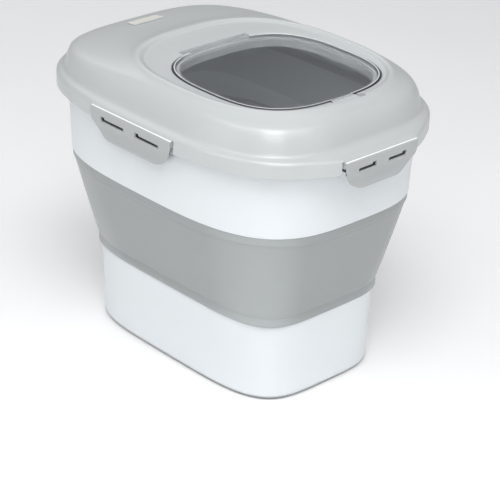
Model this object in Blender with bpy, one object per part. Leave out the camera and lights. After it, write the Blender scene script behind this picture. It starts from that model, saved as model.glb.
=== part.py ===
# Collapsible pet food bin: rigid lower tub, folding silicone band, rigid upper
# ring, domed lid with a clear flip window and four lock latches.
# Metres, +Z up.  Origin: centre of the footprint, on the surface it stands on.
# Long axis along Y; the window's thumb tab points to -Y (the front).

import math
import bpy
import bmesh
from mathutils import Matrix, Vector

MM = 0.001

# ------------------------------------------------------------ driving sizes (mm)
SEG_QUADRANT = 12          # facets in each quarter of an outline

SKIRT_B, SKIRT_A, SKIRT_N = 153.5, 210.0, 3.06      # lid skirt, half width / half length / squareness
SKIRT_BOTTOM, SKIRT_TOP = 288.5, 304.0
LID_WALL = 2.7
BULGE = 6.45               # how far the ends of the skirt swell out to meet the latches
BULGE_X0, BULGE_X1 = 50.0, 95.0

TUB_WALL = 2.5
TUB_TOP = 98.1
TUB_EDGE_R = 6.5

RING_BOTTOM, RING_RIM = 213.7, 297.4
RING_WALL = 2.6
PLUG_GAP = 0.7             # plug of the lid inside the ring
GAP = 0.3

WIN_B, WIN_A, WIN_N, WIN_Y = 99.9, 98.9, 2.92, -57.6   # clear window outline and its centre in Y
FLAP_AXIS_Y, FLAP_AXIS_Z = 41.5, 340.0
FLAP_BARREL_R, FLAP_BARREL_L = 2.0, 48.2
FLAP_PIN_R, FLAP_PIN_L = 1.1, 50.8
NOTCH_L, NOTCH_Y0, NOTCH_Y1, NOTCH_Z = 49.0, 38.9, 46.5, 336.6

LATCH_AXIS_X, LATCH_AXIS_Y, LATCH_AXIS_Z = 153.0, 216.0, 300.4
LATCH_R = 2.6              # bead along the latch's top edge
LATCH_T = 2.2
LATCH_HALF_LONG, LATCH_HALF_SHORT = 65.0, 52.0
LATCH_DROP = 31.4
LATCH_CORNER_R = 30.0
SLOT_Z = -9.1              # slot centre line below the latch axis
LATCH_SIDE_GAP = 1.8
RIB_REACH = 4.8            # catch flange tips on the ring, inward of the latch axes
RIB_Z0, RIB_Z1 = 284.8, 288.9

BADGE_X, BADGE_Y = 22.0, 7.5
BADGE_AT = 160.0


# ------------------------------------------------------------ scene set-up
for ob in list(bpy.data.objects):
    bpy.data.objects.remove(ob, do_unlink=True)


def collection(name):
    col = bpy.data.collections.get(name) or bpy.data.collections.new(name)
    if name not in bpy.context.scene.collection.children:
        bpy.context.scene.collection.children.link(col)
    return col


PARTS = collection("pet_food_bin")
CUTTERS = collection("cutters")


def material(name, colour, rough, alpha=1.0, transmission=0.0):
    mat = bpy.data.materials.new(name)
    mat.use_nodes = True
    bsdf = mat.node_tree.nodes["Principled BSDF"]
    bsdf.inputs["Base Color"].default_value = (*colour, 1.0)
    bsdf.inputs["Roughness"].default_value = rough
    bsdf.inputs["Metallic"].default_value = 0.0
    bsdf.inputs["Alpha"].default_value = alpha
    bsdf.inputs["Transmission Weight"].default_value = transmission
    mat.diffuse_color = (*colour, alpha)
    return mat


MAT_WHITE = material("polypropylene_white", (0.78, 0.82, 0.85), 0.42)
MAT_BAND = material("silicone_grey", (0.42, 0.45, 0.455), 0.62)
MAT_LID = material("lid_light_grey", (0.60, 0.63, 0.64), 0.38)
MAT_LATCH = material("latch_light_grey", (0.52, 0.55, 0.56), 0.38)
MAT_CLEAR = material("clear_polystyrene", (0.75, 0.78, 0.80), 0.08, 0.35, 0.9)
MAT_SEAL = material("seal_translucent", (0.72, 0.73, 0.72), 0.55)
MAT_BADGE = material("badge_satin_white", (0.85, 0.85, 0.83), 0.35)


# ------------------------------------------------------------ outlines and lofts
def quarter(b, a, n):
    """Points of one quarter of a superellipse, evenly spaced along the curve."""
    fine = 400
    pts = []
    for i in range(fine + 1):
        t = 0.5 * math.pi * i / fine
        pts.append((b * math.cos(t) ** (2.0 / n) if i < fine else 0.0,
                    a * math.sin(t) ** (2.0 / n)))
    run = [0.0]
    for p, q in zip(pts, pts[1:]):
        run.append(run[-1] + math.hypot(q[0] - p[0], q[1] - p[1]))
    out, k = [], 0
    for j in range(SEG_QUADRANT):
        want = run[-1] * j / SEG_QUADRANT
        while run[k + 1] < want:
            k += 1
        f = (want - run[k]) / (run[k + 1] - run[k])
        out.append((pts[k][0] + f * (pts[k + 1][0] - pts[k][0]),
                    pts[k][1] + f * (pts[k + 1][1] - pts[k][1])))
    return out


def outline(b, a, n, z, oy=0.0, bulge=0.0):
    q = quarter(b, a, n)
    full = list(q)
    full.append((0.0, a))
    full += [(-x, y) for x, y in reversed(q[1:])]
    full.append((-b, 0.0))
    full += [(-x, -y) for x, y in q[1:]]
    full.append((0.0, -a))
    full += [(x, -y) for x, y in reversed(q[1:])]
    out = []
    for x, y in full:
        t = min(max((abs(x) - BULGE_X0) / (BULGE_X1 - BULGE_X0), 0.0), 1.0)
        y += math.copysign(bulge * (1.0 - t * t * (3.0 - 2.0 * t)), y) if abs(y) > 100.0 else 0.0
        out.append((x * MM, (y + oy) * MM, z * MM))
    return out


def new_object(name, bm, mat, col=PARTS, origin=None):
    bmesh.ops.recalc_face_normals(bm, faces=bm.faces)
    mesh = bpy.data.meshes.new(name)
    bm.to_mesh(mesh)
    bm.free()
    ob = bpy.data.objects.new(name, mesh)
    col.objects.link(ob)
    if mat is not None:
        mesh.materials.append(mat)
    if origin is not None:
        mesh.transform(Matrix.Translation(-Vector(origin)))
        ob.location = origin
    return ob


def loft(name, rings, mat, closed, col=PARTS, origin=None):
    """Skin a stack of outlines.  closed=True joins the last ring to the first;
    otherwise both ends are filled with a flat face."""
    bm = bmesh.new()
    loops = [[bm.verts.new(p) for p in outline(*r)] for r in rings]
    count = len(loops[0])
    pairs = list(zip(loops, loops[1:]))
    if closed:
        pairs.append((loops[-1], loops[0]))
    for lo, hi in pairs:
        for i in range(count):
            j = (i + 1) % count
            bm.faces.new((lo[i], lo[j], hi[j], hi[i]))
    if not closed:
        bm.faces.new(loops[0])
        bm.faces.new(loops[-1])
    return new_object(name, bm, mat, col, origin)


def box(name, lo, hi, mat=None, col=CUTTERS, matrix=None):
    bm = bmesh.new()
    bmesh.ops.create_cube(bm, size=1.0)
    size = Vector([(h - l) * MM for l, h in zip(lo, hi)])
    centre = Vector([0.5 * (h + l) * MM for l, h in zip(lo, hi)])
    bmesh.ops.scale(bm, vec=size, verts=bm.verts)
    bmesh.ops.translate(bm, vec=centre, verts=bm.verts)
    ob = new_object(name, bm, mat, col)
    if matrix is not None:
        ob.matrix_world = matrix
    return ob


def rod(name, radius, half, axis, centre, mat=None, col=CUTTERS, sides=20):
    """A cylinder along X or Y."""
    bm = bmesh.new()
    bmesh.ops.create_cone(bm, cap_ends=True, segments=sides, radius1=radius * MM,
                          radius2=radius * MM, depth=2.0 * half * MM)
    turn = Matrix.Rotation(math.pi / 2, 4, "Y" if axis == "X" else "X")
    bmesh.ops.transform(bm, matrix=turn, verts=bm.verts)
    bmesh.ops.translate(bm, vec=Vector([c * MM for c in centre]), verts=bm.verts)
    return new_object(name, bm, mat, col)


def prism(name, pts, half, mat, matrix, col=PARTS):
    """A flat outline (2D curve, filled both sides) extruded by half each way."""
    curve = bpy.data.curves.new(name + "_outline", "CURVE")
    curve.dimensions = "2D"
    curve.fill_mode = "BOTH"
    curve.extrude = half * MM
    spline = curve.splines.new("POLY")
    spline.points.add(len(pts) - 1)
    for p, (x, y) in zip(spline.points, pts):
        p.co = (x * MM, y * MM, 0.0, 1.0)
    spline.use_cyclic_u = True
    temp = bpy.data.objects.new(name + "_outline", curve)
    col.objects.link(temp)
    bpy.context.view_layer.update()
    dep = bpy.context.evaluated_depsgraph_get()
    mesh = bpy.data.meshes.new_from_object(temp.evaluated_get(dep))
    bpy.data.objects.remove(temp, do_unlink=True)
    bpy.data.curves.remove(curve)
    bm = bmesh.new()
    bm.from_mesh(mesh)
    bpy.data.meshes.remove(mesh)
    bmesh.ops.remove_doubles(bm, verts=bm.verts, dist=0.00002)
    ob = new_object(name, bm, mat, col)
    ob.matrix_world = matrix
    return ob


def boolean(target, cutter, operation="DIFFERENCE"):
    mod = target.modifiers.new(operation.title() + "_" + cutter.name, "BOOLEAN")
    mod.operation = operation
    mod.solver = "EXACT"
    mod.object = cutter
    cutter.hide_render = True
    cutter.display_type = "WIRE"


def smooth(ob, angle=35.0):
    ob.data.shade_smooth()
    ob.data.set_sharp_from_angle(angle=math.radians(angle))


# ------------------------------------------------------------ lower tub
def tub_rings():
    rings = []
    for i in range(5):                                   # rounded lower edge
        t = 0.5 * math.pi * i / 4
        inset = TUB_EDGE_R * (1.0 - math.sin(t))
        rings.append((97.9 - inset, 154.2 - inset, 4.3, TUB_EDGE_R * (1.0 - math.cos(t))))
    rings += [(98.2, 154.4, 4.5, 50.0),
              (98.6, 154.6, 4.8, 91.0),
              (98.6, 154.6, 4.8, TUB_TOP),
              (98.6 - TUB_WALL, 154.6 - TUB_WALL, 4.8, TUB_TOP),
              (98.2 - TUB_WALL, 154.4 - TUB_WALL, 4.5, 50.0)]
    r = TUB_EDGE_R - TUB_WALL
    for i in (3, 2, 1, 0):
        t = 0.5 * math.pi * i / 3
        inset = r * (1.0 - math.sin(t))
        rings.append((97.9 - TUB_WALL - inset, 154.2 - TUB_WALL - inset, 4.3,
                      TUB_WALL + r * (1.0 - math.cos(t))))
    return rings


base_tub = loft("base_tub", tub_rings(), MAT_WHITE, closed=False)

# ------------------------------------------------------------ folding band
c = TUB_WALL
band_rings = [
    (99.9, 155.9, 4.9, 92.6),
    (100.9, 156.7, 4.9, 94.6),
    (101.0, 156.8, 4.9, 97.6),
    (100.7, 156.4, 4.85, 100.6),
    (102.3, 157.9, 4.75, 106.0),
    (118.8, 173.0, 4.0, 157.0),
    (135.2, 188.3, 3.4, 207.5),
    (136.5, 189.5, 3.36, 211.0),
    (136.6, 189.6, 3.34, RING_BOTTOM - GAP),
    (134.4, 187.4, 3.34, RING_BOTTOM - GAP),
    (134.4, 187.4, 3.34, 219.5),
    (132.2, 185.2, 3.34, 219.5),
    (132.8, 185.9, 3.4, 206.5),
    (116.6, 170.8, 4.0, 157.0),
    (100.2, 155.7, 4.75, 106.0),
    (96.3, 152.3, 4.8, 101.0),
    (96.3, 152.3, 4.8, TUB_TOP + GAP),
    (98.95, 154.95, 4.8, TUB_TOP + GAP),
    (98.95, 154.95, 4.8, 92.6),
]
silicone_band = loft("silicone_band", band_rings, MAT_BAND, closed=True)

# ------------------------------------------------------------ upper ring
ring_rings = [
    (137.3, 190.3, 3.34, RING_BOTTOM),
    (140.2, 193.2, 3.25, 266.0),
    (141.2, 194.2, 3.2, 286.6),
    (145.3, 201.8, 3.1, 289.2),
    (145.3, 201.8, 3.1, 292.3),
    (141.9, 194.9, 3.2, 292.6),
    (141.6, 194.6, 3.2, RING_RIM),
    (139.0, 192.0, 3.2, RING_RIM),
    (138.7, 191.7, 3.2, 286.6),
    (137.6, 190.6, 3.25, 266.0),
    (134.7, 187.7, 3.34, RING_BOTTOM),
]
upper_ring = loft("upper_ring", ring_rings, MAT_WHITE, closed=True)
rib_x = LATCH_AXIS_X - RIB_REACH
rib_y = LATCH_AXIS_Y - RIB_REACH
for sx in (-1, 1):                      # catch ribs on the long sides
    for sy in (-1, 1):
        lo = (min(sx * 141.4, sx * rib_x), min(sy * 3.0, sy * 58.0), RIB_Z0)
        hi = (max(sx * 141.4, sx * rib_x), max(sy * 3.0, sy * 58.0), RIB_Z1)
        boolean(upper_ring, box("rib_long_%d_%d" % (sx + 1, sy + 1), lo, hi), "UNION")
for sy in (-1, 1):                      # catch ribs on the short sides
    for sx in (-1, 1):
        lo = (min(sx * 3.0, sx * 46.0), min(sy * 194.2, sy * rib_y), RIB_Z0)
        hi = (max(sx * 3.0, sx * 46.0), max(sy * 194.2, sy * rib_y), RIB_Z1)
        boolean(upper_ring, box("rib_short_%d_%d" % (sx + 1, sy + 1), lo, hi), "UNION")

# ------------------------------------------------------------ lid seal in its channel
gasket_rings = [
    (142.6, 195.6, 3.2, RING_RIM + GAP),
    (142.6, 195.6, 3.2, 302.1),
    (138.5, 191.5, 3.2, 302.1),
    (138.5, 191.5, 3.2, RING_RIM + GAP),
]
lid_gasket = loft("lid_gasket", gasket_rings, MAT_SEAL, closed=True)

# ------------------------------------------------------------ lid shell
W = (WIN_B, WIN_A)
lid_rings = [
    # upper face, from the window opening outwards
    (89.0, 90.0, 3.2, 329.8, WIN_Y),
    (91.6, 91.9, 3.0, 337.7, WIN_Y),
    (WIN_B + 0.8, WIN_A + 0.8, WIN_N, 337.7, WIN_Y),
    (WIN_B + 1.0, WIN_A + 1.0, WIN_N, 341.3, WIN_Y),
    (WIN_B + 1.8, WIN_A + 1.8, WIN_N, 342.0, WIN_Y),
    (WIN_B + 6.0, WIN_A + 7.0, WIN_N, 342.3, WIN_Y + 1.0),
    (112.5, 125.0, 2.75, 342.9, -38.5),
    (114.6, 127.6, 2.72, 344.5, -38.2),
    (117.2, 131.5, 2.68, 345.4, -37.6),
    (119.9, 136.8, 2.63, 344.8, -37.0),
    (122.8, 143.2, 2.62, 342.2, -36.0),
    (127.3, 151.0, 2.85, 339.6, -29.8),
    (130.8, 163.0, 3.2, 337.0, -19.5),
    (133.1, 176.0, 3.5, 334.2, -9.0),
    (135.2, 187.0, 3.62, 331.0, 0.0),
    (137.6, 189.7, 3.62, 326.4, 0.0),
    (140.4, 192.5, 3.56, 318.0, 0.0),
    (142.8, 194.9, 3.5, 310.6, 0.0),
    (145.0, 197.3, 3.44, 308.5, 0.0),
    (149.7, 204.6, 3.2, 306.9, 0.0, 0.53 * BULGE),
    (152.0, 208.3, 3.08, 305.7, 0.0, 0.9 * BULGE),
    (153.2, 209.7, 3.06, SKIRT_TOP, 0.0, BULGE),
    (SKIRT_B, SKIRT_A, SKIRT_N, 301.8, 0.0, BULGE),
    (SKIRT_B, SKIRT_A, SKIRT_N, SKIRT_BOTTOM, 0.0, BULGE),
    # under face, back to the window opening
    (SKIRT_B - LID_WALL, SKIRT_A - LID_WALL, SKIRT_N, SKIRT_BOTTOM, 0.0, BULGE),
    (SKIRT_B - LID_WALL, SKIRT_A - LID_WALL, SKIRT_N, 302.4, 0.0, BULGE),
    (138.2, 191.2, 3.2, 302.4, 0.0),
    (138.2, 191.2, 3.2, 290.0, 0.0),
    (136.2, 189.2, 3.2, 290.0, 0.0),
    (136.4, 189.4, 3.25, 303.6, 0.0),
    (140.0, 192.2, 3.42, 308.6, 0.0),
    (137.8, 190.0, 3.54, 317.6, 0.0),
    (135.0, 187.2, 3.6, 325.6, 0.0),
    (132.6, 184.4, 3.58, 328.6, 0.0),
    (130.9, 174.0, 3.5, 331.4, -9.0),
    (128.7, 161.2, 3.2, 334.2, -19.5),
    (125.3, 149.2, 2.85, 336.9, -29.8),
    (121.2, 141.4, 2.62, 339.2, -36.0),
    (118.4, 135.0, 2.63, 341.8, -37.0),
    (116.6, 130.8, 2.68, 342.6, -37.6),
    (112.8, 124.2, 2.74, 340.3, -38.4),
    (WIN_B + 3.6, WIN_A + 3.6, WIN_N, 339.9, WIN_Y),
    (WIN_B + 3.4, WIN_A + 3.4, WIN_N, 335.2, WIN_Y),
    (94.2, 94.5, 3.0, 335.2, WIN_Y),
    (91.3, 92.3, 3.2, 329.8, WIN_Y),
]
lid_shell = loft("lid_shell", lid_rings, MAT_LID, closed=True)


def side_frame(nx, ny, dist):
    """Local X points inwards, local Y up, local Z along the hinge."""
    h = Vector((-nx, -ny, 0.0))
    up = Vector((0.0, 0.0, 1.0))
    along = h.cross(up)
    m = Matrix((h, up, along)).transposed().to_4x4()
    m.translation = Vector((nx * dist * MM, ny * dist * MM, LATCH_AXIS_Z * MM))
    return m


def arc(radius, start, stop, steps):
    return [(radius * math.cos(math.radians(start + (stop - start) * i / steps)),
             radius * math.sin(math.radians(start + (stop - start) * i / steps)))
            for i in range(steps + 1)]


SIDES = [("latch_left", -1, 0, LATCH_AXIS_X, LATCH_HALF_LONG, (9.5, 47.0), 1),
         ("latch_right", 1, 0, LATCH_AXIS_X, LATCH_HALF_LONG, (9.5, 47.0), 1),
         ("latch_front", 0, -1, LATCH_AXIS_Y, LATCH_HALF_SHORT, (9.0, 34.5), 1),
         ("latch_rear", 0, 1, LATCH_AXIS_Y, LATCH_HALF_SHORT, (9.0, 34.5), 1)]

# hinge rail: the lid's edge wraps half way round the latch's bead
rail_profile = arc(LATCH_R + GAP, 90.0, -90.0, 12) + [
    (0.0, -4.2), (0.6, -5.0), (7.2, -5.0), (7.2, 5.2),
    (4.2, 5.5), (1.7, 4.9), (0.5, 4.2), (0.0, 3.5)]

for name, nx, ny, dist, half, slot, hand in SIDES:
    frame = side_frame(nx, ny, dist)
    cut = half + LATCH_SIDE_GAP
    deep = 3.1 if nx else 6.6
    boolean(lid_shell, box("cutout_" + name, (-12.0, -20.0, -cut), (deep, 2.95, cut),
                           matrix=frame))
    boolean(lid_shell, box("lip_" + name, (-12.0, 1.0, -half - 0.4), (0.0, 8.0, half + 0.4),
                           matrix=frame))
    boolean(lid_shell, prism("rail_" + name, rail_profile, half - 0.4, None, frame, CUTTERS),
            "UNION")

# pocket for the window's hinge
boolean(lid_shell, box("hinge_block", (-53.0, 37.0, 334.4), (53.0, 49.5, 341.6)), "UNION")
boolean(lid_shell, box("hinge_notch", (-NOTCH_L, NOTCH_Y0, NOTCH_Z), (NOTCH_L, NOTCH_Y1, 350.0)))
boolean(lid_shell, box("hinge_step", (-NOTCH_L, 35.0, 337.5), (NOTCH_L, 39.5, 350.0)))
boolean(lid_shell, rod("hinge_hole", FLAP_PIN_R + GAP, FLAP_PIN_L + 0.6, "X",
                       (0.0, FLAP_AXIS_Y, FLAP_AXIS_Z)))
# finger relief under the thumb tab
boolean(lid_shell, box("tab_block", (-22.5, -175.5, 335.4), (22.5, -158.0, 341.2)), "UNION")
boolean(lid_shell, box("tab_relief", (-19.5, -172.3, 338.4), (19.5, -150.0, 350.0)))

# ------------------------------------------------------------ latches
for name, nx, ny, dist, half, slot, hand in SIDES:
    frame = side_frame(nx, ny, dist)
    inner_root = -math.sqrt(LATCH_R ** 2 - (LATCH_R - LATCH_T) ** 2)
    profile = [(-LATCH_R, 0.0), (-LATCH_R, -10.5), (-1.9, -14.5), (-0.2, -18.5),
               (1.0, -22.5), (1.05, -26.0), (0.2, -29.0), (-1.1, -LATCH_DROP),
               (1.1, -LATCH_DROP), (2.3, -28.6), (3.2, -25.9), (3.1, -22.1), (1.9, -17.8),
               (0.2, -13.8), (-LATCH_R + LATCH_T, -10.2), (-LATCH_R + LATCH_T, inner_root)]
    profile += arc(LATCH_R, -90.0, 165.0, 17)
    latch = prism(name, profile, half, MAT_LATCH, frame)
    # rounded lower corners
    corner = []
    cx, cy = half - LATCH_CORNER_R, -LATCH_DROP + LATCH_CORNER_R
    corner += [(cx + p[0], cy + p[1]) for p in arc(LATCH_CORNER_R, 0.0, -82.0, 8)]
    corner += [(-x, y) for x, y in reversed(corner)]
    corner = [(half + 1.0, 6.0), (half + 1.0, cy + 0.4), (half - 0.02, cy)] + corner[1:-1] + [
        (-half + 0.02, cy), (-half - 1.0, cy + 0.4), (-half - 1.0, 6.0)]
    trim = side_frame(nx, ny, dist) @ Matrix.Rotation(math.pi / 2, 4, "Y")
    boolean(latch, prism("trim_" + name, corner, 14.0, None, trim, CUTTERS), "INTERSECT")
    # two slots, each with a wider eye at one end
    mirror = 1.0 if name in ("latch_left", "latch_rear") else -1.0
    for k, (l0, l1) in enumerate((slot, (-slot[1], -slot[0]))):
        z0 = SLOT_Z
        boolean(latch, box("slot_%s_%d" % (name, k), (-8.0, z0 - 1.9, l0), (8.0, z0 + 1.7, l1),
                           matrix=frame))
        flip = {"latch_left": -1, "latch_right": 1, "latch_front": 1, "latch_rear": -1}[name]
        e0, e1 = (l1 - 5.0, l1) if flip > 0 else (l0, l0 + 5.0)
        boolean(latch, box("eye_%s_%d" % (name, k), (-8.0, z0 - 1.8, e0 - 0.2),
                           (8.0, z0 + 3.7, e1 + 0.2), matrix=frame))
    smooth(latch)

# ------------------------------------------------------------ clear flip window
def flap_ring(inset, z):
    return (WIN_B - inset, WIN_A - inset, WIN_N, z, WIN_Y)


FLAP_ORIGIN = (0.0, FLAP_AXIS_Y * MM, FLAP_AXIS_Z * MM)
flap_window = loft("flap_window", [
    flap_ring(4.0, 341.2), flap_ring(2.8, 342.3), flap_ring(1.1, 342.3),
    flap_ring(0.4, 341.6), flap_ring(0.4, 338.1), flap_ring(2.2, 338.1),
    flap_ring(2.5, 339.5)], MAT_CLEAR, closed=False, origin=FLAP_ORIGIN)
boolean(flap_window, box("flap_trim", (-NOTCH_L + 0.2, 37.9, 330.0), (NOTCH_L - 0.2, 60.0, 350.0)))
hinge_profile = arc(FLAP_BARREL_R, -90.0, 90.0, 9)      # bead, then the web to the pane
hinge_profile = [(x, y) for x, y in hinge_profile] + [
    (-1.6, 1.2), (-5.6, 1.15), (-5.6, -0.45), (-1.94, -0.45), (-1.4, -1.4)]
along_x = Matrix(((0, 0, 1), (1, 0, 0), (0, 1, 0))).to_4x4()
along_x.translation = Vector(FLAP_ORIGIN)
boolean(flap_window, prism("flap_hinge_bead", hinge_profile, FLAP_BARREL_L, None, along_x, CUTTERS),
        "UNION")
boolean(flap_window, rod("flap_hinge_pin", FLAP_PIN_R, FLAP_PIN_L, "X",
                         (0.0, FLAP_AXIS_Y, FLAP_AXIS_Z), sides=16), "UNION")
tab_outline = [(-15.2, -153.0), (-15.2, -165.5), (-14.2, -168.3), (-11.4, -169.6),
               (11.4, -169.6), (14.2, -168.3), (15.2, -165.5), (15.2, -153.0)]
tab_frame = Matrix.Translation((0.0, 0.0, 340.55 * MM))
boolean(flap_window, prism("flap_tab", tab_outline, 0.95, None, tab_frame, CUTTERS), "UNION")

# ------------------------------------------------------------ window seal
flap_seal = loft("flap_seal", [
    (96.5, 95.6, WIN_N, 338.0, WIN_Y), (96.5, 95.6, WIN_N, 339.2, WIN_Y),
    (93.5, 92.9, WIN_N, 339.2, WIN_Y), (93.5, 92.9, WIN_N, 338.0, WIN_Y)], MAT_SEAL, closed=True)

# ------------------------------------------------------------ blank badge on the rear slope
badge_pts = []
for cxs, cys, start in ((1, 1, 0), (-1, 1, 90), (-1, -1, 180), (1, -1, 270)):
    for i in range(5):
        t = math.radians(start + 90.0 * i / 4)
        badge_pts.append((cxs * (BADGE_X - 4.0) + 4.0 * math.cos(t),
                          cys * (BADGE_Y - 4.0) + 4.0 * math.sin(t)))
slope = math.atan2(337.0 - 334.2, 167.0 - 143.5)        # the rear slope between two outlines
surface_z = 337.0 - (BADGE_AT - 143.5) * math.tan(slope)
badge_frame = Matrix.Translation((0.0, BADGE_AT * MM, (surface_z + 0.85) * MM)) \
    @ Matrix.Rotation(-slope, 4, "X")
label_badge = prism("label_badge", badge_pts, 0.4, MAT_BADGE, badge_frame)

for ob in (base_tub, silicone_band, upper_ring, lid_gasket, lid_shell, flap_window, flap_seal,
           label_badge):
    smooth(ob)
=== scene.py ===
import math

import bmesh
import bpy
import numpy as np
from mathutils import Matrix, Vector


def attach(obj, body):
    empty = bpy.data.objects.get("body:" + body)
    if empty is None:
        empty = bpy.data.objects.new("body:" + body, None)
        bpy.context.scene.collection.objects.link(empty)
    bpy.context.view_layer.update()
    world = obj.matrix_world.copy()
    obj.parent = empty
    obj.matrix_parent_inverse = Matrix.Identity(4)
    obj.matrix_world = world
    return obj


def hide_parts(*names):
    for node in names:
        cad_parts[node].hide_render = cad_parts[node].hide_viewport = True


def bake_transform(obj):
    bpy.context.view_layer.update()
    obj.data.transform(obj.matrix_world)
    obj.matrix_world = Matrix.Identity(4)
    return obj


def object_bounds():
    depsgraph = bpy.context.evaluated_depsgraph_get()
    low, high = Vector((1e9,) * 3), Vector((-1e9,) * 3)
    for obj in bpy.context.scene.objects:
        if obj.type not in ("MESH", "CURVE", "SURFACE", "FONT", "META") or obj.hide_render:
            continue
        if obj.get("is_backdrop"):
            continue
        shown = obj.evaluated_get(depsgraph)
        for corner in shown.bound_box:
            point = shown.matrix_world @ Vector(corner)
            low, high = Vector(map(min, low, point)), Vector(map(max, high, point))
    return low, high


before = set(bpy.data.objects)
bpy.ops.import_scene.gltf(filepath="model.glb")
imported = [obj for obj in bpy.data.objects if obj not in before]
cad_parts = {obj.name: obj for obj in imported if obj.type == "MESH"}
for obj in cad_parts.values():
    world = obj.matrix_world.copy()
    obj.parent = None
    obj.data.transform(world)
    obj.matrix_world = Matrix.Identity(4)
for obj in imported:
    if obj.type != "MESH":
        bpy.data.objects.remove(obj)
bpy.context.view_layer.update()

MM = 0.001
Q = 72                      # facets in each quarter of an outline

# driving sizes (mm), the same as the CAD's
SKIRT_B, SKIRT_A, SKIRT_N = 153.5, 210.0, 3.06
SKIRT_BOTTOM, SKIRT_TOP = 288.5, 304.0
LID_WALL = 2.7
TUB_WALL, TUB_TOP, TUB_EDGE_R = 2.5, 98.1, 6.5
RING_BOTTOM, RING_RIM = 213.7, 297.4
GAP = 0.3
WIN_B, WIN_A, WIN_N, WIN_Y = 99.9, 98.9, 2.92, -57.6
FLAP_AXIS_Y, FLAP_AXIS_Z = 41.5, 340.0
LATCH_AXIS_X, LATCH_AXIS_Y, LATCH_AXIS_Z = 153.0, 216.0, 300.4
LATCH_R, LATCH_T, LATCH_DROP, LATCH_CORNER_R = 2.6, 2.2, 31.4, 30.0
SLOT_Z = -9.1
LATCH_HALF_LONG, LATCH_HALF_SHORT, LATCH_SIDE_GAP = 65.0, 52.0, 1.8
RIB_REACH = 4.8
BULGE, BULGE_X0, BULGE_X1 = 6.45, 50.0, 95.0
NOTCH_L = 49.0

CUTTERS = bpy.data.collections.new("cutters")
bpy.context.scene.collection.children.link(CUTTERS)


# ================================================================ materials
def tree(name):
    mat = bpy.data.materials.new(name)
    mat.use_nodes = True
    nt = mat.node_tree
    bsdf = nt.nodes["Principled BSDF"]
    return mat, nt, bsdf


def node(nt, kind, **props):
    n = nt.nodes.new(kind)
    for k, v in props.items():
        setattr(n, k, v)
    return n


def coords(nt, scale=(1.0, 1.0, 1.0)):
    tc = node(nt, "ShaderNodeTexCoord")
    mp = node(nt, "ShaderNodeMapping")
    mp.inputs["Scale"].default_value = scale
    nt.links.new(tc.outputs["Object"], mp.inputs["Vector"])
    return mp.outputs["Vector"]


def noise(nt, vec, scale, detail=3.0, rough=0.5, distortion=0.0):
    n = node(nt, "ShaderNodeTexNoise")
    n.inputs["Scale"].default_value = scale
    n.inputs["Detail"].default_value = detail
    n.inputs["Roughness"].default_value = rough
    n.inputs["Distortion"].default_value = distortion
    nt.links.new(vec, n.inputs["Vector"])
    return n.outputs["Fac"]


def ramp(nt, fac, stops):
    r = node(nt, "ShaderNodeValToRGB")
    while len(r.color_ramp.elements) > 1:
        r.color_ramp.elements.remove(r.color_ramp.elements[-1])
    for i, (pos, col) in enumerate(stops):
        e = r.color_ramp.elements[0] if i == 0 else r.color_ramp.elements.new(pos)
        e.position = pos
        e.color = (*col, 1.0) if len(col) == 3 else col
    nt.links.new(fac, r.inputs["Fac"])
    return r.outputs["Color"]


def remap(nt, fac, lo, hi, from_lo=0.0, from_hi=1.0):
    m = node(nt, "ShaderNodeMapRange")
    m.inputs["From Min"].default_value = from_lo
    m.inputs["From Max"].default_value = from_hi
    m.inputs["To Min"].default_value = lo
    m.inputs["To Max"].default_value = hi
    nt.links.new(fac, m.inputs["Value"])
    return m.outputs["Result"]


def shade(c, k):
    return tuple(min(1.0, max(0.0, v * k)) for v in c)


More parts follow.
